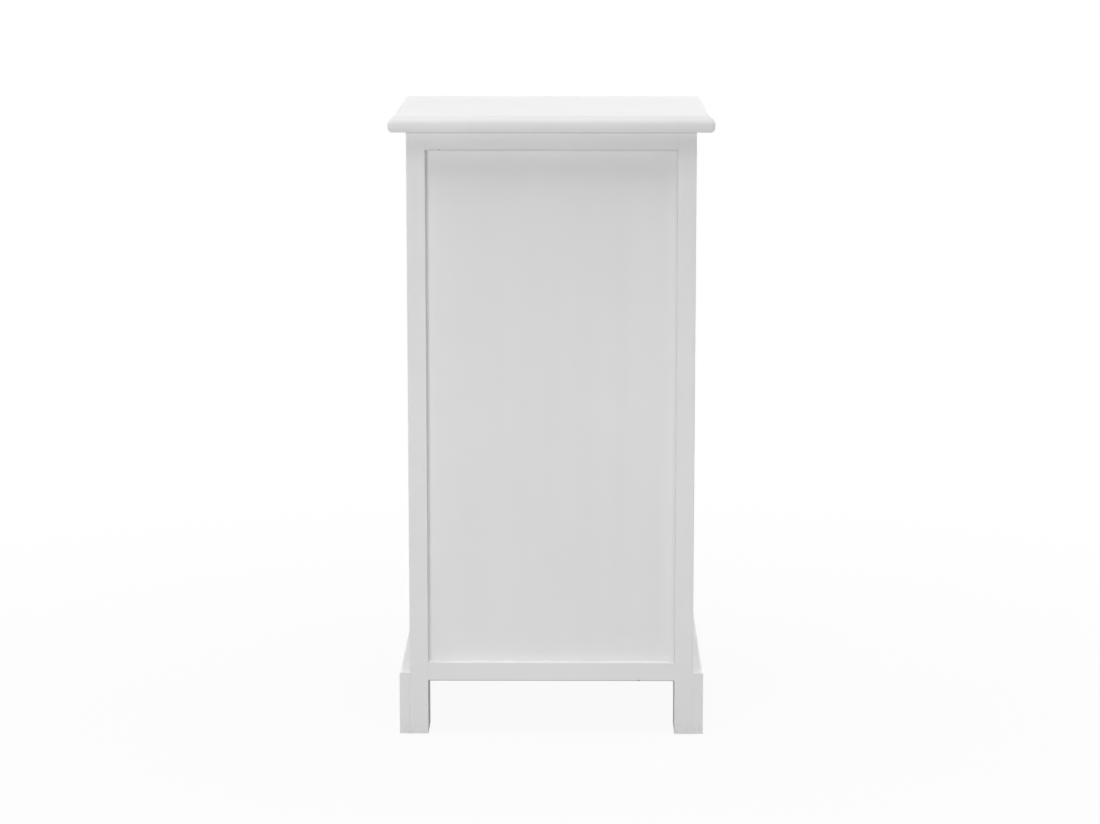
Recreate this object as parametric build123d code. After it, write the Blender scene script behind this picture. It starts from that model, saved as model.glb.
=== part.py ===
from build123d import *
from math import sqrt
import os

# Tall narrow bedside cabinet in painted wood, millimetres, +Z up.
# The origin is on the floor, under the middle of the top. The front faces -Y and the back +Y.

# Outside of the cabinet
overall_height = 780
body_width = 356
body_depth = 318
side_overhang = 22
front_overhang = 22
back_overhang = 10

# Top board, with a wide round above and a smaller one below, all the way round
top_thickness = 20
top_corner_radius = 4
top_upper_radius = 10
top_lower_radius = 6

# Legs, which are also the upright members of the frames
leg_thickness = 23
leg_depth = 55
arris_radius = 1.2

# Rails between the legs
rail_thickness = 23
back_top_rail_height = 22
back_bottom_rail_height = 23
front_top_rail_height = 22
front_bottom_rail_height = 23
side_top_rail_height = 55
side_bottom_rail_height = 55
divider_height = 20
underside_height = 70

# Thin panels held in grooves
panel_thickness = 5
panel_recess = 11.5
groove_depth = 6
groove_clearance = 0.2
bottom_panel_lift = 6

# Plinth boards round the front and the sides
plinth_thickness = 13
plinth_height = 80
plinth_edge_radius = 2.5
front_foot_width = 60
side_foot_length = 75
arch_height = 42
arch_corner_radius = 16

# Glides nailed under the legs
glide_radius = 9
glide_thickness = 1.5
glide_edge_radius = 0.5
glide_nail_radius = 1.2
glide_nail_length = 14

# Dowels
dowel_radius = 4
dowel_length = 32
dowel_end_gap = 1
fit_clearance = 0.1
side_dowel_inset = 14
low_front_dowel_setback = 8

# Corner blocks and the screws that hold the top
block_leg_length = 34
block_height = 20
screw_radius = 2
screw_head_radius = 4
screw_head_depth = 2.6
top_screw_length = 32
screw_place_in_block = 11

# Drawers
drawer_count = 3
front_gap = 2
front_setback = 1
front_thickness = 18
front_edge_radius = 1.5
box_side_thickness = 12
box_back_thickness = 12
box_side_height = 150
box_lift = 9
box_side_clearance = 2
box_back_gap = 14
box_bottom_thickness = 4
box_bottom_lift = 9
box_groove_depth = 5
box_dowel_radius = 3
box_dowel_length = 22
box_dowel_inset = 28

# Runners on the legs, and the grooves in the drawer sides that ride on them
runner_height = 14
runner_reach = 7
runner_setback = 24
runner_back_gap = 2
runner_groove_depth = 6
runner_groove_clearance = 0.3
runner_screw_length = 19
runner_screw_radius = 1.6
runner_screw_head_radius = 3.2
runner_screw_head_depth = 1.8

# Stops behind the drawers
stop_width = 9
stop_height = 24
stop_clearance = 0.3

# Knobs
knob_radius = 15
knob_neck_radius = 7
knob_base_radius = 9
knob_base_thickness = 2.5
knob_length = 21
knob_head_thickness = 11
knob_under_inset = 4
knob_rim_inset = 2.5
knob_dome_radius = 30
knob_hole_depth = 13
knob_screw_length = 29

# Places worked out from the sizes above
top_width = body_width + 2 * side_overhang
top_depth = body_depth + front_overhang + back_overhang
front_y = -top_depth / 2 + front_overhang
back_y = top_depth / 2 - back_overhang
side_x = body_width / 2
inner_x = side_x - leg_thickness
body_top = overall_height - top_thickness
front_leg_inner_y = front_y + leg_depth
back_leg_inner_y = back_y - leg_depth
front_rail_inner_y = front_y + rail_thickness
back_rail_inner_y = back_y - rail_thickness
leg_foot = glide_thickness
left_and_right = {"left": -1, "right": 1}


def block(x0, x1, y0, y1, z0, z1):
    """A plain block between six planes, each pair in either order."""
    middle = ((x0 + x1) / 2, (y0 + y1) / 2, (z0 + z1) / 2)
    return Pos(*middle) * Box(abs(x1 - x0), abs(y1 - y0), abs(z1 - z0))


def rod(radius, start, end):
    """A round bar from one point to another."""
    run = Vector(*end) - Vector(*start)
    bar = Cylinder(radius, run.length, align=(Align.CENTER, Align.CENTER, Align.MIN))
    return Plane(origin=start, z_dir=run) * bar


def flip(shape, side):
    """The shape as modelled for the right side (+X), or mirrored to the left."""
    return shape if side > 0 else mirror(shape, Plane.YZ)


def countersunk_screw(shank_radius, head_radius, head_depth, length, start, direction):
    """A wood screw whose flat head is flush with the point start."""
    profile = Polyline(
        (0, 0),
        (head_radius, 0),
        (shank_radius, head_depth),
        (shank_radius, length - 2 * shank_radius),
        (0, length),
        close=True,
    )
    screw = revolve(Plane.XZ * make_face(profile), Axis.Z)
    return Plane(origin=start, z_dir=direction) * screw


def write(name, shape):
    """Save one node: a single solid, or a group of separate solids."""
    shape.label = name
    export_step(shape, f"parts/{name}.step")


def group(solids):
    """Separate solids kept together under one name."""
    return Compound(children=[solid for shape in solids for solid in shape.solids()])


# Top board
def top_board():
    """The top, with rounded edges and blind holes for the four screws."""
    board = block(-top_width / 2, top_width / 2, -top_depth / 2, top_depth / 2, body_top, overall_height)
    board = fillet(board.edges().filter_by(Axis.Z), top_corner_radius)
    board = fillet(board.faces().sort_by(Axis.Z)[-1].edges(), top_upper_radius)
    board = fillet(board.faces().sort_by(Axis.Z)[0].edges(), top_lower_radius)
    for x, y in block_screw_places():
        hole_top = body_top - block_height + top_screw_length + dowel_end_gap
        board -= rod(screw_radius + fit_clearance, (x, y, body_top), (x, y, hole_top))
    return board


def block_screw_places():
    """Where the four screws rise through the corner blocks."""
    places = []
    for side in left_and_right.values():
        x = side * (inner_x - screw_place_in_block)
        places.append((x, front_rail_inner_y + screw_place_in_block))
        places.append((x, back_rail_inner_y - screw_place_in_block))
    return places


def corner_blocks():
    """Triangular blocks glued into the four corners under the top."""
    blocks = []
    for side in left_and_right.values():
        for corner_y, inward in ((front_rail_inner_y, 1), (back_rail_inner_y, -1)):
            corner = (side * inner_x, corner_y)
            along_rail = (side * (inner_x - block_leg_length), corner_y)
            along_leg = (side * inner_x, corner_y + inward * block_leg_length)
            outline = make_face(Polyline(corner, along_rail, along_leg, close=True))
            solid = extrude(Plane.XY.offset(body_top - block_height) * outline, block_height, dir=(0, 0, 1))
            place = (corner[0] - side * screw_place_in_block, corner_y + inward * screw_place_in_block)
            solid -= screw_hole(place[0], place[1])
            blocks.append(solid)
    return group(blocks)


def screw_hole(x, y):
    """The countersunk hole through a corner block."""
    bottom = body_top - block_height
    hole = rod(screw_radius + fit_clearance, (x, y, bottom), (x, y, body_top))
    profile = Polyline(
        (0, 0),
        (screw_head_radius + fit_clearance, 0),
        (screw_radius + fit_clearance, screw_head_depth),
        (0, screw_head_depth),
        close=True,
    )
    return hole + Pos(x, y, bottom) * revolve(Plane.XZ * make_face(profile), Axis.Z)


def top_screws():
    """The four screws that pull the top down onto the corner blocks."""
    bottom = body_top - block_height
    return group(
        countersunk_screw(
            screw_radius, screw_head_radius, screw_head_depth, top_screw_length, (x, y, bottom), (0, 0, 1)
        )
        for x, y in block_screw_places()
    )


# Dowel places. Each joint is a start point on the joint face and a direction into the leg.
def frame_dowels():
    """Every dowel between a rail and a leg: the centre of its joint and its axis."""
    joints = []
    side_low = underside_height + side_dowel_inset
    side_high = underside_height + side_bottom_rail_height - groove_depth - side_dowel_inset
    top_low = body_top - side_top_rail_height + groove_depth + side_dowel_inset
    top_high = body_top - side_dowel_inset
    middle_x = (inner_x + side_x) / 2
    for side in left_and_right.values():
        for z in (side_low, side_high, top_low, top_high):
            joints.append(((side * middle_x, front_leg_inner_y, z), (0, 1, 0)))
            joints.append(((side * middle_x, back_leg_inner_y, z), (0, 1, 0)))
        for bottom, top, y in end_rails():
            joints.append(((side * inner_x, y, (bottom + top) / 2), (1, 0, 0)))
    return joints


def end_rails():
    """Each rail that runs from side to side: its lower and upper edge, and the depth of its dowels."""
    front_middle = (front_y + front_rail_inner_y) / 2
    back_skin = back_y - panel_recess / 2
    low_front = front_y + low_front_dowel_setback
    rails = [
        (body_top - back_top_rail_height, body_top, back_skin),
        (underside_height, underside_height + back_bottom_rail_height, back_skin),
        (body_top - front_top_rail_height, body_top, front_middle),
        (underside_height, underside_height + front_bottom_rail_height, low_front),
    ]
    for number in range(1, drawer_count):
        rails.append((divider_bottom(number), divider_bottom(number) + divider_height, front_middle))
    return rails


def dowel_bars(radius, length, joints):
    """Round bars centred on each joint, along its axis."""
    bars = []
    for centre, axis in joints:
        half = Vector(*axis) * (length / 2)
        bars.append(rod(radius, tuple(Vector(*centre) - half), tuple(Vector(*centre) + half)))
    return bars


def without_dowel_holes(shape):
    """The shape with the holes of the dowels that reach into it."""
    holes = dowel_bars(dowel_radius + fit_clearance, dowel_length + 2 * dowel_end_gap, frame_dowels())
    return drilled(shape, holes)


def drilled(shape, holes):
    """The shape less the holes whose boxes meet its own box."""
    box = shape.bounding_box()
    for hole in holes:
        if boxes_meet(box, hole.bounding_box()):
            shape -= hole
    return shape


def boxes_meet(first, second):
    """True where two bounding boxes overlap."""
    return all(
        low < high
        for low, high in (
            (first.min.X, second.max.X),
            (second.min.X, first.max.X),
            (first.min.Y, second.max.Y),
            (second.min.Y, first.max.Y),
            (first.min.Z, second.max.Z),
            (second.min.Z, first.max.Z),
        )
    )


# Drawer openings, counted from the bottom
def clear_bottom():
    """The lower edge of the lowest drawer opening."""
    return underside_height + front_bottom_rail_height


def opening_height():
    """The clear height of one drawer opening."""
    clear_top = body_top - front_top_rail_height
    dividers = (drawer_count - 1) * divider_height
    return (clear_top - clear_bottom() - dividers) / drawer_count


def opening_bottom(number):
    """The lower edge of an opening, 0 being the lowest."""
    return clear_bottom() + number * (opening_height() + divider_height)


def divider_bottom(number):
    """The lower edge of the divider under an opening, 1 being the second opening."""
    return opening_bottom(number) - divider_height


def runner_middle(number):
    """The height of the middle of a drawer's runners."""
    return opening_bottom(number) + front_gap + box_lift + box_side_height / 2


# Legs
def leg(side, back):
    """One leg, with panel grooves, dowel holes, screw holes and the hole of its glide nail."""
    y0, y1 = (back_leg_inner_y, back_y) if back else (front_y, front_leg_inner_y)
    outer_y = back_y if back else front_y
    lower = block(inner_x, side_x, y0, y1, leg_foot, plinth_height)
    upper = block(inner_x, side_x, y0, y1, plinth_height, body_top)
    corner = upper.edges().filter_by(Axis.Z).sort_by_distance((side_x, outer_y, plinth_height))[0]
    solid = lower + fillet(corner, arris_radius)
    solid = flip(solid, side)
    solid -= side_panel_space(side)
    if back:
        solid -= back_panel_space()
    solid = without_dowel_holes(solid)
    solid = drilled(solid, runner_screw_bodies(fit_clearance))
    nail_x, nail_y = glide_place(side, back)
    nail_top = leg_foot + glide_nail_length + dowel_end_gap
    solid -= rod(glide_nail_radius + fit_clearance, (nail_x, nail_y, leg_foot), (nail_x, nail_y, nail_top))
    return solid


def glide_place(side, back):
    """The middle of a leg's foot."""
    y = (back_leg_inner_y + back_y) / 2 if back else (front_y + front_leg_inner_y) / 2
    return side * (inner_x + side_x) / 2, y


def foot_glides():
    """Round glides with a nail, one under each leg."""
    glides = []
    for side in left_and_right.values():
        for back in (False, True):
            x, y = glide_place(side, back)
            head = rod(glide_radius, (x, y, 0), (x, y, glide_thickness))
            head = fillet(head.edges().filter_by(GeomType.CIRCLE).sort_by(Axis.Z)[0], glide_edge_radius)
            nail_top = glide_thickness + glide_nail_length
            glides.append(head + rod(glide_nail_radius, (x, y, glide_thickness), (x, y, nail_top)))
    return group(glides)


# Thin panels and the grooves that hold them
def side_panel_box(side, grow):
    """The box of a side panel, grown by a clearance where it stands for its groove."""
    outer = side_x - panel_recess
    reach = groove_depth - groove_clearance + grow
    x0 = side * (outer - panel_thickness - grow)
    x1 = side * (outer + grow)
    y0 = front_leg_inner_y - reach
    y1 = back_leg_inner_y + reach
    z0 = underside_height + side_bottom_rail_height - reach
    z1 = body_top - side_top_rail_height + reach
    return block(x0, x1, y0, y1, z0, z1)


def side_panel_space(side):
    """The grooves of a side panel."""
    return side_panel_box(side, groove_clearance)


def back_panel_box(grow):
    """The box of the back panel, grown by a clearance where it stands for its groove."""
    outer = back_y - panel_recess
    reach = groove_depth - groove_clearance + grow
    x = inner_x + reach
    z0 = underside_height + back_bottom_rail_height - reach
    z1 = body_top - back_top_rail_height + reach
    return block(-x, x, outer - panel_thickness - grow, outer + grow, z0, z1)


def back_panel_space():
    """The grooves of the back panel."""
    return back_panel_box(groove_clearance)


def bottom_panel_shape(grow):
    """The bottom panel, notched round the four legs, grown where it stands for its grooves."""
    reach = groove_depth - groove_clearance + grow
    z0 = underside_height + bottom_panel_lift - grow
    z1 = underside_height + bottom_panel_lift + panel_thickness + grow
    notch = groove_clearance - grow
    along = block(
        -inner_x - reach,
        inner_x + reach,
        front_leg_inner_y + notch,
        back_leg_inner_y - notch,
        z0,
        z1,
    )
    across = block(
        -inner_x + notch,
        inner_x - notch,
        front_rail_inner_y - reach,
        back_rail_inner_y + reach,
        z0,
        z1,
    )
    return along + across


# Rails
def side_rail(side, bottom, height):
    """A rail of a side frame, between the legs."""
    rail = block(side * inner_x, side * side_x, front_leg_inner_y, back_leg_inner_y, bottom, bottom + height)
    rail -= side_panel_space(side)
    rail -= bottom_panel_shape(groove_clearance)
    return without_dowel_holes(rail)


def back_rail(bottom, height):
    """A rail of the back frame, between the rear legs."""
    rail = block(-inner_x, inner_x, back_rail_inner_y, back_y, bottom, bottom + height)
    rail -= back_panel_space()
    rail -= bottom_panel_shape(groove_clearance)
    return without_dowel_holes(rail)


def front_rail(bottom, height):
    """A rail of the front frame, between the front legs."""
    rail = block(-inner_x, inner_x, front_y, front_rail_inner_y, bottom, bottom + height)
    rail -= bottom_panel_shape(groove_clearance)
    return without_dowel_holes(rail)


# Plinth
def arch(width, depth):
    """The cutter of an arch with rounded upper corners, on the floor, open below."""
    height = 2 * arch_height
    cutter = Box(width, depth, height)
    return fillet(cutter.edges().filter_by(Axis.Y).group_by(Axis.Z)[-1], arch_corner_radius)


def plinth_ring():
    """The closed wrap of plinth round the front and the sides, before it is cut at the corners."""
    outer_x = side_x + plinth_thickness
    outer_y = front_y - plinth_thickness
    wrap = block(-outer_x, outer_x, outer_y, back_y, leg_foot, plinth_height)
    rims = wrap.edges().group_by(Axis.Z)[-1]
    outside = [edge for edge in rims if edge.center().Y < back_y - plinth_edge_radius]
    wrap = fillet(outside, plinth_edge_radius)
    wrap -= block(-side_x, side_x, front_y, back_y, leg_foot, plinth_height)
    front_arch_width = 2 * (outer_x - front_foot_width)
    wrap -= Pos(0, outer_y, 0) * arch(front_arch_width, 2 * plinth_thickness + plinth_thickness)
    side_arch_length = back_y - outer_y - 2 * side_foot_length
    side_arch = Rot(0, 0, 90) * arch(side_arch_length, 3 * outer_x)
    wrap -= Pos(0, (back_y + outer_y) / 2, 0) * side_arch
    return wrap


def corner_wedge():
    """Everything in front of the two mitre planes at the front corners."""
    outer_x = side_x + plinth_thickness
    outer_y = front_y - plinth_thickness
    apex_y = outer_y + outer_x
    outline = Polyline((0, apex_y), (-2 * outer_x, outer_y - outer_x), (2 * outer_x, outer_y - outer_x), close=True)
    return extrude(make_face(outline), 2 * plinth_height, dir=(0, 0, 1))


def front_plinth():
    """The front board, mitred at both ends."""
    return plinth_ring() & corner_wedge()


def side_plinth(side):
    """A side board, mitred in front and square behind."""
    rest = plinth_ring() - corner_wedge()
    return rest.solids().sort_by(Axis.X)[0 if side < 0 else -1]


# Runners and stops
def runner_span():
    """Where a runner begins and ends, front to back."""
    return front_y + runner_setback, back_rail_inner_y - runner_back_gap


def runner(side, number):
    """A runner on the legs, with its two screw holes."""
    start, end = runner_span()
    middle = runner_middle(number)
    low = middle - runner_height / 2
    high = middle + runner_height / 2
    solid = block(side * inner_x, side * (inner_x - runner_reach), start, end, low, high)
    return drilled(solid, runner_screw_bodies(fit_clearance))


def runner_screw_bodies(grow):
    """The screws of every runner, or their holes where grow is a clearance."""
    start, end = runner_span()
    places = ((start + front_leg_inner_y) / 2, (end + back_leg_inner_y) / 2)
    bodies = []
    for number in range(drawer_count):
        for side in left_and_right.values():
            for y in places:
                bodies.append(
                    countersunk_screw(
                        runner_screw_radius + grow,
                        runner_screw_head_radius + grow,
                        runner_screw_head_depth,
                        runner_screw_length + 3 * grow,
                        (side * (inner_x - runner_reach), y, runner_middle(number)),
                        (side, 0, 0),
                    )
                )
    return bodies


def drawer_stops():
    """Small blocks on the rear legs, one behind each drawer side."""
    blocks = []
    for number in range(drawer_count):
        low = runner_middle(number) + runner_height / 2
        for side in left_and_right.values():
            x0 = side * inner_x
            x1 = side * (inner_x - stop_width)
            blocks.append(block(x0, x1, box_end() + stop_clearance, back_rail_inner_y, low, low + stop_height))
    return group(blocks)


# Drawers
def box_end():
    """The rear end of the drawer sides."""
    return back_rail_inner_y - box_back_gap


def box_start():
    """The rear face of the drawer fronts, where the sides begin."""
    return front_y + front_setback + front_thickness


def box_bottom_level(number):
    """The lower edge of a drawer's sides."""
    return opening_bottom(number) + front_gap + box_lift


def drawer_panel_box(number, grow):
    """The bottom of a drawer box, grown by a clearance where it stands for its grooves."""
    outer_x = inner_x - box_side_clearance
    reach = box_groove_depth - groove_clearance + grow
    x = outer_x - box_side_thickness + reach
    low = box_bottom_level(number) + box_bottom_lift - grow
    high = box_bottom_level(number) + box_bottom_lift + box_bottom_thickness + grow
    return block(-x, x, box_start() - reach, box_end() + grow, low, high)


def drawer_dowel_joints(number):
    """The dowels of one drawer: front to sides, and sides to back."""
    outer_x = inner_x - box_side_clearance
    middle_x = outer_x - (box_side_thickness + box_groove_depth) / 2
    low = box_bottom_level(number) + box_dowel_inset
    high = box_bottom_level(number) + box_side_height - box_dowel_inset
    joints = []
    for side in left_and_right.values():
        for z in (low, high):
            joints.append(((side * middle_x, box_start(), z), (0, 1, 0)))
    return joints


def drawer_back_joints(number):
    """The pins that go through the sides into the back of a drawer box."""
    inside_x = inner_x - box_side_clearance - box_side_thickness
    low = box_bottom_level(number) + box_dowel_inset
    high = box_bottom_level(number) + box_side_height - box_dowel_inset
    y = box_end() - box_back_thickness / 2
    return [((side * inside_x, y, z), (1, 0, 0)) for side in left_and_right.values() for z in (low, high)]


def drawer_dowel_holes(number):
    """The holes of a drawer's dowels."""
    radius = box_dowel_radius + fit_clearance
    return dowel_bars(radius, box_dowel_length, drawer_dowel_joints(number) + drawer_back_joints(number))


def drawer_dowels(number):
    """The dowels of one drawer."""
    length = box_dowel_length - 2 * dowel_end_gap
    return group(
        dowel_bars(box_dowel_radius, length, drawer_dowel_joints(number) + drawer_back_joints(number))
    )


def drawer_front(number):
    """The front board of a drawer, with a groove for the bottom and the hole of the knob screw."""
    x = inner_x - front_gap
    low = opening_bottom(number) + front_gap
    high = opening_bottom(number) + opening_height() - front_gap
    face_y = front_y + front_setback
    board = block(-x, x, face_y, box_start(), low, high)
    board = fillet(board.faces().sort_by(Axis.Y)[0].edges(), front_edge_radius)
    board -= drawer_panel_box(number, groove_clearance)
    middle = (low + high) / 2
    board -= rod(screw_radius + fit_clearance, (0, face_y, middle), (0, box_start(), middle))
    return drilled(board, drawer_dowel_holes(number))


def drawer_side(side, number):
    """A side of a drawer box, with the groove that rides on the runner."""
    outer_x = inner_x - box_side_clearance
    low = box_bottom_level(number)
    high = low + box_side_height
    board = block(side * outer_x, side * (outer_x - box_side_thickness), box_start(), box_end(), low, high)
    half_groove = runner_height / 2 + runner_groove_clearance
    middle = runner_middle(number)
    board -= block(
        side * outer_x,
        side * (outer_x - runner_groove_depth),
        box_start(),
        box_end(),
        middle - half_groove,
        middle + half_groove,
    )
    board -= drawer_panel_box(number, groove_clearance)
    return drilled(board, drawer_dowel_holes(number))


def drawer_back(number):
    """The back of a drawer box, standing on its bottom."""
    x = inner_x - box_side_clearance - box_side_thickness
    low = box_bottom_level(number) + box_bottom_lift + box_bottom_thickness
    high = box_bottom_level(number) + box_side_height
    board = block(-x, x, box_end() - box_back_thickness, box_end(), low, high)
    return drilled(board, drawer_dowel_holes(number))


def knob_place(number):
    """The middle of a drawer front's face."""
    return Vector(0, front_y + front_setback, opening_bottom(number) + opening_height() / 2)


def knob_dome_height(x):
    """The height of the knob's domed face at a distance from its axis."""
    return knob_length - knob_dome_radius + sqrt(knob_dome_radius**2 - x**2)


def knob(number):
    """A turned knob with a collar, a neck and a rounded head, and a blind hole for its screw."""
    neck_end = knob_length - knob_head_thickness
    under_x = knob_radius - knob_under_inset
    rim_x = knob_radius - knob_rim_inset
    rim_z = knob_dome_height(rim_x)
    outline = make_face(
        [
            Line((0, 0), (knob_base_radius, 0)),
            Line((knob_base_radius, 0), (knob_base_radius, knob_base_thickness)),
            ThreePointArc(
                (knob_base_radius, knob_base_thickness),
                (knob_neck_radius, (knob_base_thickness + neck_end) / 2),
                (under_x, neck_end),
            ),
            ThreePointArc((under_x, neck_end), (knob_radius, (neck_end + rim_z) / 2), (rim_x, rim_z)),
            ThreePointArc((rim_x, rim_z), (rim_x / 2, knob_dome_height(rim_x / 2)), (0, knob_length)),
            Line((0, knob_length), (0, 0)),
        ]
    )
    turned = revolve(Plane.XZ * outline, Axis.Z)
    turned -= rod(screw_radius + fit_clearance, (0, 0, 0), (0, 0, knob_hole_depth))
    return Plane(origin=knob_place(number), x_dir=(1, 0, 0), z_dir=(0, -1, 0)) * turned


def knob_screw(number):
    """The pan-headed screw that holds a knob from inside the drawer."""
    place = knob_place(number)
    start = (place.X, box_start(), place.Z)
    shank = rod(screw_radius, start, (place.X, box_start() - knob_screw_length, place.Z))
    head = rod(screw_head_radius, start, (place.X, box_start() + screw_head_depth, place.Z))
    head = fillet(head.edges().filter_by(GeomType.CIRCLE).sort_by(Axis.Y)[-1], screw_head_depth / 2)
    return shank + head


def write_cabinet():
    """The carcass: everything that stays still."""
    write("top_panel", top_board())
    for side_name, side in left_and_right.items():
        write(f"{side_name}_front_leg", leg(side, False))
        write(f"{side_name}_rear_leg", leg(side, True))
        top_rail_bottom = body_top - side_top_rail_height
        write(f"{side_name}_side_top_rail", side_rail(side, top_rail_bottom, side_top_rail_height))
        write(f"{side_name}_side_bottom_rail", side_rail(side, underside_height, side_bottom_rail_height))
        write(f"{side_name}_side_panel", side_panel_box(side, 0))
        write(f"{side_name}_plinth", side_plinth(side))
    write("front_plinth", front_plinth())
    write("back_top_rail", back_rail(body_top - back_top_rail_height, back_top_rail_height))
    write("back_bottom_rail", back_rail(underside_height, back_bottom_rail_height))
    write("back_panel", back_panel_box(0))
    write("front_top_rail", front_rail(body_top - front_top_rail_height, front_top_rail_height))
    write("front_bottom_rail", front_rail(underside_height, front_bottom_rail_height))
    for number in range(1, drawer_count):
        write(f"drawer_divider_{number}", front_rail(divider_bottom(number), divider_height))
    write("bottom_panel", bottom_panel_shape(0))
    write("corner_blocks", corner_blocks())
    write("top_screws", top_screws())
    write("frame_dowels", group(dowel_bars(dowel_radius, dowel_length, frame_dowels())))
    write("runner_screws", group(runner_screw_bodies(0)))
    write("drawer_stops", drawer_stops())
    write("foot_glides", foot_glides())


def write_drawer(name, number):
    """One drawer, its knob and its pair of runners."""
    write(f"{name}_drawer_front", drawer_front(number))
    write(f"{name}_drawer_back", drawer_back(number))
    write(f"{name}_drawer_bottom", drawer_panel_box(number, 0))
    write(f"{name}_drawer_dowels", drawer_dowels(number))
    write(f"{name}_drawer_knob", knob(number))
    write(f"{name}_drawer_knob_screw", knob_screw(number))
    for side_name, side in left_and_right.items():
        write(f"{name}_drawer_{side_name}_side", drawer_side(side, number))
        write(f"{name}_{side_name}_runner", runner(side, number))


os.makedirs("parts", exist_ok=True)
write_cabinet()
for drawer_number, drawer_name in enumerate(("lower", "middle", "upper")):
    write_drawer(drawer_name, drawer_number)
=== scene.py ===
import bpy
import math
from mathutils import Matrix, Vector


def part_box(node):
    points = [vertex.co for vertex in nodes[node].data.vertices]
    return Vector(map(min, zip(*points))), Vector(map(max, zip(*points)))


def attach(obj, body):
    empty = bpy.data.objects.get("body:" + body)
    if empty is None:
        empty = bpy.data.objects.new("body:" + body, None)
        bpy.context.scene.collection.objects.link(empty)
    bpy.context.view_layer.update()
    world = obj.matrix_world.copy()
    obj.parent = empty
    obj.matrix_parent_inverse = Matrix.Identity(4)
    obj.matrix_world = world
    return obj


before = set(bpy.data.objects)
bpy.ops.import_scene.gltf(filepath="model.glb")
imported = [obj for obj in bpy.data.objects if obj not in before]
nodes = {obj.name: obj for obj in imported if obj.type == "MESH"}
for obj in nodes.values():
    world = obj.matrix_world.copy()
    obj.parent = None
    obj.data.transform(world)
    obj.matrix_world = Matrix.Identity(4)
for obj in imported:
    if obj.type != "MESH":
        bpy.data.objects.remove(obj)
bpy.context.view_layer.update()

scene = bpy.context.scene
photoWidth = 1100


def deselectAll():
    bpy.ops.object.select_all(action="DESELECT")


def useAlone(piece):
    deselectAll()
    piece.select_set(True)
    bpy.context.view_layer.objects.active = piece


def bakePlace(piece):  # the place goes into the mesh, the object back to the origin
    useAlone(piece)
    bpy.ops.object.transform_apply(location=True, rotation=True, scale=True)


def finishModifiers(piece):
    useAlone(piece)
    for modifier in list(piece.modifiers):
        bpy.ops.object.modifier_apply(modifier=modifier.name)


def keepSlots(piece, material):
    piece.data.materials.clear()
    piece.data.materials.append(material)


# Camera, worked out from the corners of the body, the top and the feet
cameraUser = {
    "lensFromBack": 3.9,
    "sideways": -0.0296,
    "eyeHeight": 1.085,
    "tiltDown": 9.772,
    "turn": 0.459,
    "focalPixels": 3191,
    "sensorWidth": 36,
    "farEnd": 50,
}


def addCamera():
    user = cameraUser
    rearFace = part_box("back_top_rail")[1].y
    place = (user["sideways"], rearFace + user["lensFromBack"], user["eyeHeight"])
    bpy.ops.object.camera_add(location=place)
    camera = bpy.context.object
    camera.name = "photoCamera"
    camera.rotation_euler = (math.radians(90 - user["tiltDown"]), 0, math.radians(180 + user["turn"]))
    camera.data.sensor_width = user["sensorWidth"]
    camera.data.lens = user["sensorWidth"] * user["focalPixels"] / photoWidth
    camera.data.clip_end = user["farEnd"]
    scene.camera = camera


addCamera()
print("camera placed")


# Small helpers for building node trees
def newMaterial(name):
    material = bpy.data.materials.new(name)
    material.use_nodes = True
    tree = material.node_tree
    shader = tree.nodes["Principled BSDF"]
    return material, tree, shader


def addNode(tree, kind, **settings):
    node = tree.nodes.new(kind)
    for key, value in settings.items():
        setattr(node, key, value)
    return node


def setInputs(node, **values):
    for key, value in values.items():
        node.inputs[key].default_value = value
    return node


def objectPoint(tree, scale=(1, 1, 1), offset=(0, 0, 0)):
    coordinates = addNode(tree, "ShaderNodeTexCoord")
    mapping = setInputs(addNode(tree, "ShaderNodeMapping"), Scale=scale, Location=offset)
    tree.links.new(coordinates.outputs["Object"], mapping.inputs["Vector"])
    return mapping.outputs["Vector"]


def noise(tree, point, scale, detail=2.0, roughness=0.5):
    texture = addNode(tree, "ShaderNodeTexNoise")
    setInputs(texture, Scale=scale, Detail=detail, Roughness=roughness)
    tree.links.new(point, texture.inputs["Vector"])
    return texture.outputs["Fac"]


def remap(tree, value, low, high, newLow, newHigh):
    node = addNode(tree, "ShaderNodeMapRange")
    setInputs(node, **{"From Min": low, "From Max": high, "To Min": newLow, "To Max": newHigh})
    tree.links.new(value, node.inputs["Value"])
    return node.outputs["Result"]


def mathNode(tree, operation, first, second):
    node = addNode(tree, "ShaderNodeMath", operation=operation)
    for index, value in enumerate((first, second)):
        if isinstance(value, (int, float)):
            node.inputs[index].default_value = value
        else:
            tree.links.new(value, node.inputs[index])
    return node.outputs["Value"]


def blend(tree, first, firstShare, second, secondShare):
    return mathNode(tree, "ADD", mathNode(tree, "MULTIPLY", first, firstShare),
                    mathNode(tree, "MULTIPLY", second, secondShare))


def colourRamp(tree, value, stops):
    ramp = addNode(tree, "ShaderNodeValToRGB")
    elements = ramp.color_ramp.elements
    while len(elements) < len(stops):
        elements.new(0.5)
    for element, (position, colour) in zip(elements, stops):
        element.position = position
        element.color = (*colour, 1)
    tree.links.new(value, ramp.inputs["Fac"])
    return ramp.outputs["Color"]


def mixColour(tree, factor, first, second):
    node = addNode(tree, "ShaderNodeMix", data_type="RGBA")
    for key, value in (("Factor", factor), ("A", first), ("B", second)):
        socket = node.inputs[key]
        if isinstance(value, tuple):
            socket.default_value = (*value, 1)
        elif isinstance(value, (int, float)):
            socket.default_value = value
        else:
            tree.links.new(value, socket)
    return node.outputs["Result"]


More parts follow.
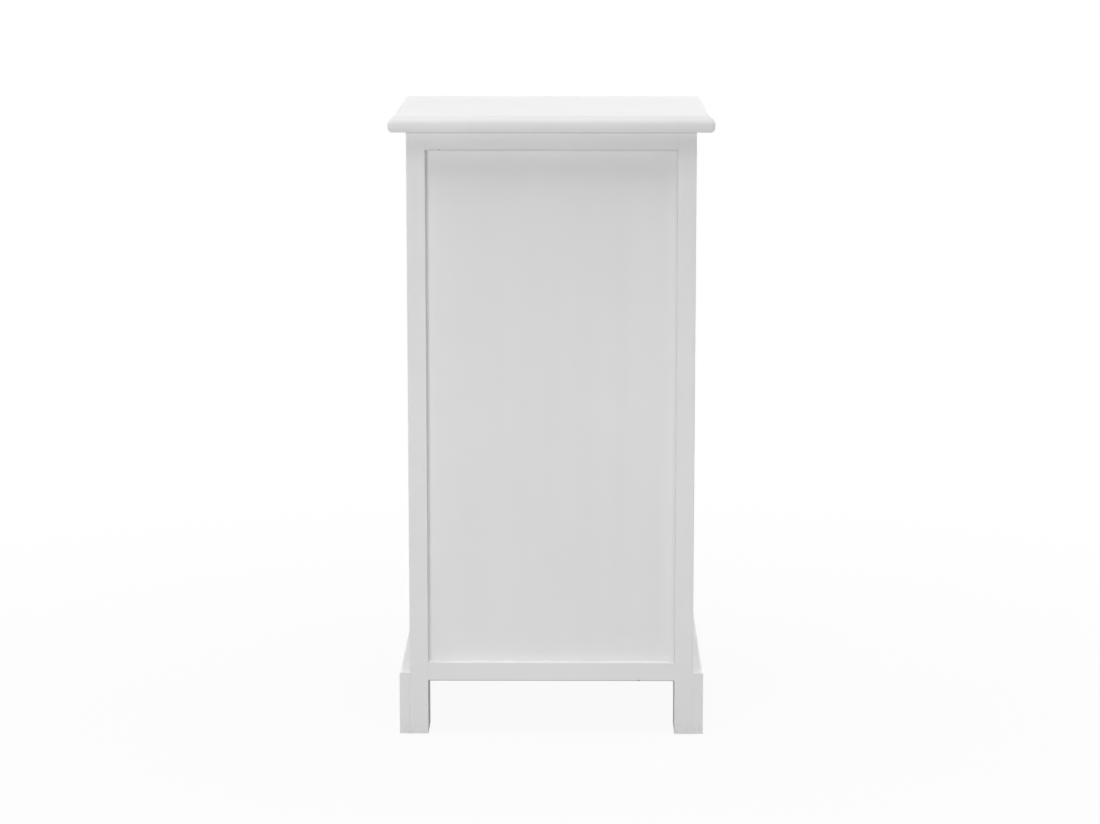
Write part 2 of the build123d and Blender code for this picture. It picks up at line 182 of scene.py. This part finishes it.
def addBump(tree, height, distance, strength, previous=None):
    bump = setInputs(addNode(tree, "ShaderNodeBump"), Distance=distance, Strength=strength)
    tree.links.new(height, bump.inputs["Height"])
    if previous is not None:
        tree.links.new(previous, bump.inputs["Normal"])
    return bump.outputs["Normal"]


def stretched(axis, across, along):  # scale vector for a grain that runs along one axis
    return tuple(along if letter == axis else across for letter in "xyz")


def softArris(tree, radius, samples):
    bevel = setInputs(addNode(tree, "ShaderNodeBevel", samples=samples), Radius=radius)
    return bevel.outputs["Normal"]


noiseSpan = (0.3, 0.7)  # where nearly all of a noise texture's values lie
noiseMiddle = (0.36, 0.64)

# White satin paint on solid wood. The grain and the brush follow the length of each member.
# Scales of grain and brush are across and along, bumps are depth and strength
paintUser = {
    "white": (0.775, 0.775, 0.775),
    "thin": (0.75, 0.75, 0.748),
    "cloudScale": 9,
    "cloudShare": 0.7,
    "cloudBump": (0.002, 0.10),
    "grainScale": (420, 9),
    "grainShare": 0.3,
    "grainBump": (0.00025, 0.22),
    "brushScale": (1500, 14),
    "brushBump": (0.0001, 0.25),
    "stippleScale": 800,
    "stippleBump": (0.0001, 0.25),
    "grime": (0.60, 0.585, 0.55),
    "grimeTop": 0.022,
    "scuffScale": 160,
    "scuffSpan": (0.42, 0.72),
    "scuffMost": 0.55,
    "roughness": (0.50, 0.62),
    "specular": 0.3,
    "arris": 0.0006,
    "arrisSamples": 6,
    "flaw": (0.12, 0.11, 0.10),
    "flawCore": 0.6,
    "flawShare": 0.85,
    "topFlaw": ((0.1375, 0.1645, 0.7385), 0.0012),
    "bottomFlaw": ((-0.110, 0.1648, 0.0705), 0.0015),
    # The seam colour paints a thin shade line in the joint under the top board and along the lower edges of
    # the top and bottom rails
    "seamShade": (0.40, 0.395, 0.385),
    "seamShadeCore": 0.55,
    "seamShadeShare": 0.75,
    "topSeamShade": (0.760, 0.0016),
    "railEdgeShade": (0.738, 0.0009),
    "bottomEdgeShade": (0.070, 0.0013),
}


def paintedWood(name, grainAxis, seamShades=(), flaws=()):
    user = paintUser
    material, tree, shader = newMaterial(name)
    clouds = noise(tree, objectPoint(tree), user["cloudScale"], detail=3)
    grainPoint = objectPoint(tree, stretched(grainAxis, *user["grainScale"]))
    grain = noise(tree, grainPoint, 1, detail=3, roughness=0.6)
    brush = noise(tree, objectPoint(tree, stretched(grainAxis, *user["brushScale"])), 1, detail=1)
    stipple = noise(tree, objectPoint(tree), user["stippleScale"], detail=2)
    blotch = blend(tree, clouds, user["cloudShare"], grain, user["grainShare"])
    paint = mixColour(tree, remap(tree, blotch, *noiseMiddle, 0, 1), user["thin"], user["white"])
    place = addNode(tree, "ShaderNodeSeparateXYZ")
    tree.links.new(objectPoint(tree), place.inputs["Vector"])
    height = place.outputs["Z"]
    nearFloor = remap(tree, height, 0, user["grimeTop"], 1, 0)
    scuff = noise(tree, objectPoint(tree), user["scuffScale"], detail=4, roughness=0.65)
    scuffed = remap(tree, scuff, *user["scuffSpan"], 0, user["scuffMost"])
    paint = mixColour(tree, mathNode(tree, "MULTIPLY", nearFloor, scuffed), paint, user["grime"])
    for level, drop in seamShades:  # painted shade: a thin dark line in the joint under the top board, and along the lower edges of the top and bottom rails
        depth = mathNode(tree, "ABSOLUTE", mathNode(tree, "SUBTRACT", height, level), 0)
        seamShadeMask = remap(tree, depth, drop * user["seamShadeCore"], drop, user["seamShadeShare"], 0)
        paint = mixColour(tree, seamShadeMask, paint, user["seamShade"])
    for middle, radius in flaws:  # a chip the size of a pinhead
        away = addNode(tree, "ShaderNodeVectorMath", operation="DISTANCE")
        away.inputs[1].default_value = middle
        tree.links.new(objectPoint(tree), away.inputs[0])
        chip = remap(tree, away.outputs["Value"], radius * user["flawCore"], radius, user["flawShare"], 0)
        paint = mixColour(tree, chip, paint, user["flaw"])
    tree.links.new(paint, shader.inputs["Base Color"])
    tree.links.new(remap(tree, stipple, *noiseSpan, *user["roughness"]), shader.inputs["Roughness"])
    normal = softArris(tree, user["arris"], user["arrisSamples"])
    normal = addBump(tree, clouds, *user["cloudBump"], normal)
    normal = addBump(tree, grain, *user["grainBump"], normal)
    normal = addBump(tree, brush, *user["brushBump"], normal)
    normal = addBump(tree, stipple, *user["stippleBump"], normal)
    tree.links.new(normal, shader.inputs["Normal"])
    shader.inputs["Specular IOR Level"].default_value = user["specular"]
    return material


# The same paint, rolled onto thin smooth board
boardUser = {
    "cloudScale": 5,
    "cloudShare": 0.6,
    "cloudBump": (0.003, 0.12),
    "lapScale": (28, 2),
    "lapShare": 0.4,
    "rollerScale": 520,
    "rollerBump": (0.00012, 0.35),
}


def paintedBoard():
    user = boardUser
    material, tree, shader = newMaterial("rolledPaint")
    clouds = noise(tree, objectPoint(tree), user["cloudScale"], detail=3)
    roller = noise(tree, objectPoint(tree), user["rollerScale"], detail=3, roughness=0.6)
    lap = noise(tree, objectPoint(tree, stretched("z", *user["lapScale"])), 1, detail=1)
    tone = remap(tree, blend(tree, clouds, user["cloudShare"], lap, user["lapShare"]), *noiseMiddle, 0, 1)
    tree.links.new(mixColour(tree, tone, paintUser["thin"], paintUser["white"]), shader.inputs["Base Color"])
    tree.links.new(remap(tree, roller, *noiseSpan, *paintUser["roughness"]), shader.inputs["Roughness"])
    normal = addBump(tree, clouds, *user["cloudBump"])
    normal = addBump(tree, roller, *user["rollerBump"], normal)
    tree.links.new(normal, shader.inputs["Normal"])
    shader.inputs["Specular IOR Level"].default_value = paintUser["specular"]
    return material


# Smooth lacquer on the turned knobs
knobUser = {
    "white": (0.81, 0.81, 0.81),
    "thin": (0.785, 0.785, 0.78),
    "cloudScale": 60,
    "turningScale": (40, 1500),
    "turningBump": (0.00008, 0.2),
    "roughness": (0.2, 0.32),
}


def knobLacquer():
    user = knobUser
    material, tree, shader = newMaterial("knobLacquer")
    clouds = noise(tree, objectPoint(tree), user["cloudScale"], detail=3)
    turning = noise(tree, objectPoint(tree, stretched("y", *user["turningScale"])), 1, detail=1)
    tree.links.new(mixColour(tree, clouds, user["thin"], user["white"]), shader.inputs["Base Color"])
    tree.links.new(remap(tree, clouds, *noiseSpan, *user["roughness"]), shader.inputs["Roughness"])
    tree.links.new(addBump(tree, turning, *user["turningBump"]), shader.inputs["Normal"])
    return material


# Bare woods inside: pine boards, beech runners and dowels, and thin plywood
woodUser = {
    "pine": {"early": (0.74, 0.57, 0.37), "late": (0.60, 0.42, 0.24),
             "rings": 150, "warp": 7.5, "roughness": (0.42, 0.6)},
    "beech": {"early": (0.62, 0.43, 0.27), "late": (0.50, 0.33, 0.20),
              "rings": 220, "warp": 4, "roughness": (0.4, 0.55)},
    "ply": {"early": (0.68, 0.54, 0.37), "late": (0.60, 0.46, 0.30),
            "rings": 60, "warp": 9, "roughness": (0.45, 0.62)},
}
grainUser = {
    "warpScale": (14, 2.2),
    "ringScale": (1, 0.06),
    "depthShare": 0.7,
    "earlyEnds": 0.4,
    "lateAt": 0.85,
    "fibreScale": (900, 18),
    "fibreBump": (0.0002, 0.4),
    "poreSpan": (0.35, 0.65),
    "poreShade": (0.86, 1.06),
    "pineOffset": (0.3, 0.1, 0.2),
}


def bareWood(name, kind, grainAxis, offset=(0, 0, 0)):
    user = woodUser[kind]
    material, tree, shader = newMaterial(name)
    warpPoint = objectPoint(tree, stretched(grainAxis, *grainUser["warpScale"]), offset)
    warp = noise(tree, warpPoint, 1, detail=2)
    across = addNode(tree, "ShaderNodeSeparateXYZ")
    ringPoint = objectPoint(tree, stretched(grainAxis, *grainUser["ringScale"]), offset)
    tree.links.new(ringPoint, across.inputs["Vector"])
    distance = mathNode(tree, "ADD", across.outputs["X"], across.outputs["Z"])
    deep = mathNode(tree, "MULTIPLY", across.outputs["Y"], grainUser["depthShare"])
    distance = mathNode(tree, "ADD", distance, deep)
    ring = mathNode(tree, "FRACT", blend(tree, distance, user["rings"], warp, user["warp"]), 0)
    rings = colourRamp(tree, ring, (
        (0.0, user["early"]),
        (grainUser["earlyEnds"], user["early"]),
        (grainUser["lateAt"], user["late"]),
        (1.0, user["early"]),
    ))
    fibrePoint = objectPoint(tree, stretched(grainAxis, *grainUser["fibreScale"]), offset)
    fibre = noise(tree, fibrePoint, 1, detail=3, roughness=0.6)
    pores = remap(tree, fibre, *grainUser["poreSpan"], *grainUser["poreShade"])
    shade = addNode(tree, "ShaderNodeMix", data_type="RGBA", blend_type="MULTIPLY")
    shade.inputs["Factor"].default_value = 1
    tree.links.new(rings, shade.inputs["A"])
    tree.links.new(pores, shade.inputs["B"])
    tree.links.new(shade.outputs["Result"], shader.inputs["Base Color"])
    tree.links.new(remap(tree, fibre, *noiseSpan, *user["roughness"]), shader.inputs["Roughness"])
    tree.links.new(addBump(tree, fibre, *grainUser["fibreBump"]), shader.inputs["Normal"])
    return material


zincUser = {
    "bright": (0.62, 0.62, 0.60),
    "dull": (0.50, 0.50, 0.49),
    "spangleScale": 700,
    "spangleSpan": (0, 0.6),
    "roughness": (0.28, 0.45),
}


def zincSteel():
    user = zincUser
    material, tree, shader = newMaterial("zincSteel")
    texture = setInputs(addNode(tree, "ShaderNodeTexVoronoi"), Scale=user["spangleScale"])
    tree.links.new(objectPoint(tree), texture.inputs["Vector"])
    spangle = texture.outputs["Distance"]
    tree.links.new(mixColour(tree, spangle, user["bright"], user["dull"]), shader.inputs["Base Color"])
    shader.inputs["Metallic"].default_value = 1
    tree.links.new(remap(tree, spangle, *user["spangleSpan"], *user["roughness"]), shader.inputs["Roughness"])
    return material


plasticUser = {
    "dark": (0.30, 0.295, 0.285),
    "light": (0.42, 0.415, 0.40),
    "gritScale": 600,
    "gritBump": (0.0001, 0.3),
    "roughness": (0.5, 0.7),
}


def glidePlastic():
    user = plasticUser
    material, tree, shader = newMaterial("glidePlastic")
    grit = noise(tree, objectPoint(tree), user["gritScale"], detail=3)
    tree.links.new(mixColour(tree, grit, user["dark"], user["light"]), shader.inputs["Base Color"])
    tree.links.new(remap(tree, grit, *noiseSpan, *user["roughness"]), shader.inputs["Roughness"])
    tree.links.new(addBump(tree, grit, *user["gritBump"]), shader.inputs["Normal"])
    return material


# Filler wiped into the corners with a finger, and painted over. Its white is lighter than the frame paint:
# painted light along the bead and the ledge
litFillerUser = {
    # lighter than the frame paint's white, as painted light on the bead
    "white": (0.86, 0.86, 0.86),
    "thin": (0.82, 0.82, 0.818),
    "cloudScale": 35,
    "wipeScale": 260,
    "wipeBump": (0.0004, 0.25),
    "stippleScale": 900,
    "stippleBump": (0.0001, 0.25),
}


def litWipedFiller():
    user = litFillerUser
    material, tree, shader = newMaterial("litWipedFiller")
    clouds = noise(tree, objectPoint(tree), user["cloudScale"], detail=3)
    wipe = noise(tree, objectPoint(tree), user["wipeScale"], detail=2)
    stipple = noise(tree, objectPoint(tree), user["stippleScale"], detail=2)
    tree.links.new(mixColour(tree, clouds, user["thin"], user["white"]), shader.inputs["Base Color"])
    tree.links.new(remap(tree, wipe, *noiseSpan, *paintUser["roughness"]), shader.inputs["Roughness"])
    normal = addBump(tree, wipe, *user["wipeBump"])
    normal = addBump(tree, stipple, *user["stippleBump"], normal)
    tree.links.new(normal, shader.inputs["Normal"])
    shader.inputs["Specular IOR Level"].default_value = paintUser["specular"]
    return material


# Painted shade lines under the top board and along the lower edges of the top and bottom rails
topSeamShades = (paintUser["topSeamShade"], paintUser["railEdgeShade"])
bottomEdgeShades = (paintUser["bottomEdgeShade"],)
uprightPaint = paintedWood("uprightPaint", "z", seamShades=(paintUser["topSeamShade"],))
crossPaint = paintedWood("crossPaint", "x")
deepPaint = paintedWood("deepPaint", "y", seamShades=(paintUser["topSeamShade"],))
topRailPaint = paintedWood("topRailPaint", "x", seamShades=topSeamShades, flaws=(paintUser["topFlaw"],))
bottomRailPaint = paintedWood("bottomRailPaint", "x", seamShades=bottomEdgeShades, flaws=(paintUser["bottomFlaw"],))
boardPaint = paintedBoard()
# the bead's paint is lighter than the frame's: painted light
litFillerPaint = litWipedFiller()
knobPaint = knobLacquer()
pineDeep = bareWood("pineDeep", "pine", "y")
pineAcross = bareWood("pineAcross", "pine", "x", offset=grainUser["pineOffset"])
beechDeep = bareWood("beechDeep", "beech", "y")
plyAcross = bareWood("plyAcross", "ply", "x")
zinc = zincSteel()
plastic = glidePlastic()


def materialFor(name):
    if name.endswith("_leg"):
        return uprightPaint
    if name in ("back_top_rail", "front_top_rail"):
        return topRailPaint
    if name == "back_bottom_rail":
        return bottomRailPaint
    if name in ("back_panel", "left_side_panel", "right_side_panel"):
        return boardPaint
    if name.endswith("_knob"):
        return knobPaint
    if name.endswith(("_screw", "_screws")):
        return zinc
    if name.endswith(("_runner", "dowels")):
        return beechDeep
    if name.endswith("_bottom") or name == "bottom_panel":
        return plyAcross
    if name in ("corner_blocks", "drawer_stops") or name.endswith("_drawer_back"):
        return pineAcross
    if name.endswith(("_drawer_left_side", "_drawer_right_side")):
        return pineDeep
    if name == "foot_glides":
        return plastic
    if name in ("left_plinth", "right_plinth") or name.endswith(("_side_top_rail", "_side_bottom_rail")):
        return deepPaint
    return crossPaint


for nodeName, node in nodes.items():
    keepSlots(node, materialFor(nodeName))
print("materials on", len(nodes), "nodes")


# Selecting by place, for the edit mode operators
def editAlone(piece, part):
    useAlone(piece)
    bpy.ops.object.mode_set(mode="EDIT")
    bpy.ops.mesh.select_mode(type=part)
    bpy.ops.mesh.select_all(action="DESELECT")


def pickVertices(piece, wanted):
    bpy.ops.object.mode_set(mode="OBJECT")
    for vertex in piece.data.vertices:
        vertex.select = bool(wanted(vertex.co))
    bpy.ops.object.mode_set(mode="EDIT")


def pickEdges(piece, wanted):
    bpy.ops.object.mode_set(mode="OBJECT")
    points = [vertex.co for vertex in piece.data.vertices]
    for part in (*piece.data.vertices, *piece.data.polygons):
        part.select = False
    for edge in piece.data.edges:
        edge.select = bool(wanted(points[edge.vertices[0]], points[edge.vertices[1]]))
    bpy.ops.object.mode_set(mode="EDIT")


def pickFaces(piece, wanted):
    bpy.ops.object.mode_set(mode="OBJECT")
    for part in (*piece.data.edges, *piece.data.vertices):
        part.select = False
    for face in piece.data.polygons:
        face.select = bool(wanted(face))
    bpy.ops.object.mode_set(mode="EDIT")


# The bead of filler between each thin panel and its frame
beadUser = {
    "leg": 0.005,
    "sunk": 0.0008,
    "hollow": 0.55,
    "rings": 4,
    "step": 0.004,
    "ripple": 0.0009,
    "rippleSize": 0.02,
    "facing": 0.9,
    "weld": 0.0001,
    "levelGap": 0.00005,
    "smoothAngle": 50,
}


# One bead right round an opening, modelled flat at the origin, facing +Y
def beadRing(name, width, height):
    user = beadUser
    leg, sunk, rings = user["leg"], user["sunk"], user["rings"]
    reach = leg + sunk
    outerX, outerZ = width / 2 + sunk, height / 2 + sunk
    innerX, innerZ = outerX - reach / 2, outerZ - reach / 2
    deselectAll()
    bpy.ops.mesh.primitive_cube_add(size=1, location=(0, (leg - sunk) / 2, 0),
                                    scale=(2 * outerX, reach, 2 * outerZ))
    bead = bpy.context.object
    bead.name = name
    bakePlace(bead)
    editAlone(bead, "FACE")
    pickFaces(bead, lambda face: abs(face.normal.y) > user["facing"])
    bpy.ops.mesh.inset(thickness=reach, use_individual=True)
    bpy.ops.mesh.delete(type="FACE")
    bpy.ops.mesh.select_mode(type="VERT")
    pickVertices(bead, lambda place: place.y > 0 and abs(place.x) < innerX and abs(place.z) < innerZ)
    bpy.ops.transform.translate(value=(0, -reach, 0))
    bpy.ops.mesh.select_all(action="SELECT")
    bpy.ops.mesh.remove_doubles(threshold=user["weld"])
    bpy.ops.mesh.select_mode(type="EDGE")
    pickEdges(bead, lambda a, b: abs(a.x - b.x) > reach / 2 and abs(a.y - b.y) > reach / 2)
    bpy.ops.mesh.subdivide(number_cuts=rings)
    bpy.ops.mesh.select_mode(type="VERT")
    for ring in range(1, rings + 1):  # each ring of the slope goes in towards the corner
        share = ring / (rings + 1)
        turn = share * math.pi / 2
        straight, level = share * reach, leg - share * reach
        inward = straight + user["hollow"] * (reach * (1 - math.cos(turn)) - straight)
        lower = level + user["hollow"] * (leg - reach * math.sin(turn) - level)
        pickVertices(bead, lambda place: abs(place.y - level) < user["levelGap"]
                     and abs(abs(place.x) - outerX + straight) < user["weld"])
        wider = (outerX - inward) / (outerX - straight)
        taller = (outerZ - inward) / (outerZ - straight)
        bpy.ops.transform.resize(value=(wider, 1, taller), center_override=(0, 0, 0))
        bpy.ops.transform.translate(value=(0, lower - level, 0))
    bpy.ops.mesh.select_mode(type="EDGE")
    pickEdges(bead, lambda a, b: abs(a.x - b.x) > width / 2)
    bpy.ops.mesh.subdivide(number_cuts=round(width / user["step"]))
    pickEdges(bead, lambda a, b: abs(a.z - b.z) > height / 2)
    bpy.ops.mesh.subdivide(number_cuts=round(height / user["step"]))
    bpy.ops.mesh.select_all(action="SELECT")
    bpy.ops.mesh.normals_make_consistent(inside=False)
    bpy.ops.object.mode_set(mode="OBJECT")
    ripple = bead.modifiers.new("ripple", "DISPLACE")
    ripple.texture = bpy.data.textures.new(name + "Ripple", "CLOUDS")
    ripple.texture.noise_scale = user["rippleSize"]
    ripple.strength = user["ripple"]
    finishModifiers(bead)
    bpy.ops.object.shade_smooth_by_angle(angle=math.radians(user["smoothAngle"]))
    return bead


def placeBead(name, width, height, middle, turn):
    bead = beadRing(name, width, height)
    bead.location = middle
    bead.rotation_euler = (0, 0, math.radians(turn))
    bakePlace(bead)
    keepSlots(bead, litFillerPaint)
    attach(bead, "cabinet")


def addBackBead():
    left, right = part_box("left_rear_leg")[1].x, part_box("right_rear_leg")[0].x
    low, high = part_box("back_bottom_rail")[1].z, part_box("back_top_rail")[0].z
    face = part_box("back_panel")[1].y
    middle = ((left + right) / 2, face, (low + high) / 2)
    placeBead("back_panel_bead", right - left, high - low, middle, 0)


def addSideBead(side, face, turn):
    front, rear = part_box(side + "_front_leg")[1].y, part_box(side + "_rear_leg")[0].y
    low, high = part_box(side + "_side_bottom_rail")[1].z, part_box(side + "_side_top_rail")[0].z
    middle = (face, (front + rear) / 2, (low + high) / 2)
    placeBead(side + "_panel_bead", rear - front, high - low, middle, turn)


addBackBead()
addSideBead("left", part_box("left_side_panel")[0].x, 90)
addSideBead("right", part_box("right_side_panel")[1].x, -90)
print("filler beads round the panels")


# Soft studio light: a box high overhead, a key from the photo's left, a low fill near the floor,
# a weaker pair for the drawer side and one box for each end
lightUser = {
    "overheadBox": {"place": (0.0, 1.0, 5.5), "aim": (0, 0.1, 0.5),
                    "size": (2.4, 2.0), "power": 194},
    "keyBox": {"place": (0.68, 2.0, 1.0), "aim": (0, 0.16, 0.6),
               "size": (0.36, 0.5), "power": 9},
    "fillBox": {"place": (-0.05, 1.5, 0.18), "aim": (0, 0.16, 0.3),
                "size": (1.3, 0.3), "power": 5.2},
    "frontKeyBox": {"place": (-1.5, -2.5, 1.4), "aim": (0, -0.15, 0.42),
                    "size": (1.0, 1.0), "power": 30},
    "frontFillBox": {"place": (1.5, -2.6, 1.2), "aim": (0, -0.15, 0.42),
                     "size": (1.2, 1.0), "power": 22},
    "leftEndBox": {"place": (3.2, -0.4, 1.2), "aim": (0.18, 0, 0.42),
                   "size": (1.2, 1.2), "power": 31},
    "rightEndBox": {"place": (-3.2, -0.4, 1.2), "aim": (-0.18, 0, 0.42),
                    "size": (1.2, 1.2), "power": 28},
}
worldUser = {"ambient": 0.1, "seen": 1.0}


def addSoftBox(name, place, aim, size, power):
    bpy.ops.object.light_add(type="AREA", location=place)
    lamp = bpy.context.object
    lamp.name = name
    lamp.data.shape = "RECTANGLE"
    lamp.data.size, lamp.data.size_y = size
    lamp.data.energy = power
    lamp.visible_camera = False
    lamp.rotation_euler = (Vector(aim) - Vector(place)).to_track_quat("-Z", "Y").to_euler()


def seenDirectly(tree):  # 1 for the camera, and for what gloss and glass show
    path = addNode(tree, "ShaderNodeLightPath")
    either = mathNode(tree, "MAXIMUM", path.outputs["Is Camera Ray"], path.outputs["Is Glossy Ray"])
    return mathNode(tree, "MAXIMUM", either, path.outputs["Is Transmission Ray"])


def whiteWorld():
    world = bpy.data.worlds.new("studio")
    world.use_nodes = True
    tree = world.node_tree
    background = tree.nodes["Background"]
    background.inputs["Color"].default_value = (1, 1, 1, 1)
    strength = remap(tree, seenDirectly(tree), 0, 1, worldUser["ambient"], worldUser["seen"])
    tree.links.new(strength, background.inputs["Strength"])
    scene.world = world


# The floor shows white, and keeps a faint part of the cabinet's shadow
floorUser = {
    "size": 14,
    "drop": 0.0002,
    "albedo": (0.5, 0.5, 0.5),
    "shadowShare": 0.06,
    "fade": (0.45, 1.5),
}


def addFloor():
    user = floorUser
    bpy.ops.mesh.primitive_plane_add(size=user["size"], location=(0, 0, -user["drop"]))
    floor = bpy.context.object
    floor.name = "studioFloor"
    material, tree, shader = newMaterial("studioFloor")
    tree.nodes.remove(shader)
    matt = setInputs(addNode(tree, "ShaderNodeBsdfDiffuse"), Color=(*user["albedo"], 1))
    glow = setInputs(addNode(tree, "ShaderNodeEmission"), Color=(1, 1, 1, 1))
    distance = addNode(tree, "ShaderNodeVectorMath", operation="LENGTH")
    tree.links.new(objectPoint(tree), distance.inputs[0])
    glowShare = remap(tree, distance.outputs["Value"], *user["fade"], 1 - user["shadowShare"], 1)
    mix = addNode(tree, "ShaderNodeMixShader")
    tree.links.new(mathNode(tree, "MULTIPLY", seenDirectly(tree), glowShare), mix.inputs["Fac"])
    tree.links.new(matt.outputs["BSDF"], mix.inputs[1])
    tree.links.new(glow.outputs["Emission"], mix.inputs[2])
    tree.links.new(mix.outputs["Shader"], tree.nodes["Material Output"].inputs["Surface"])
    keepSlots(floor, material)


for lampName, lampUser in lightUser.items():
    addSoftBox(lampName, **lampUser)
whiteWorld()
addFloor()
scene.view_settings.view_transform = "Standard"
print("light, world and floor ready")
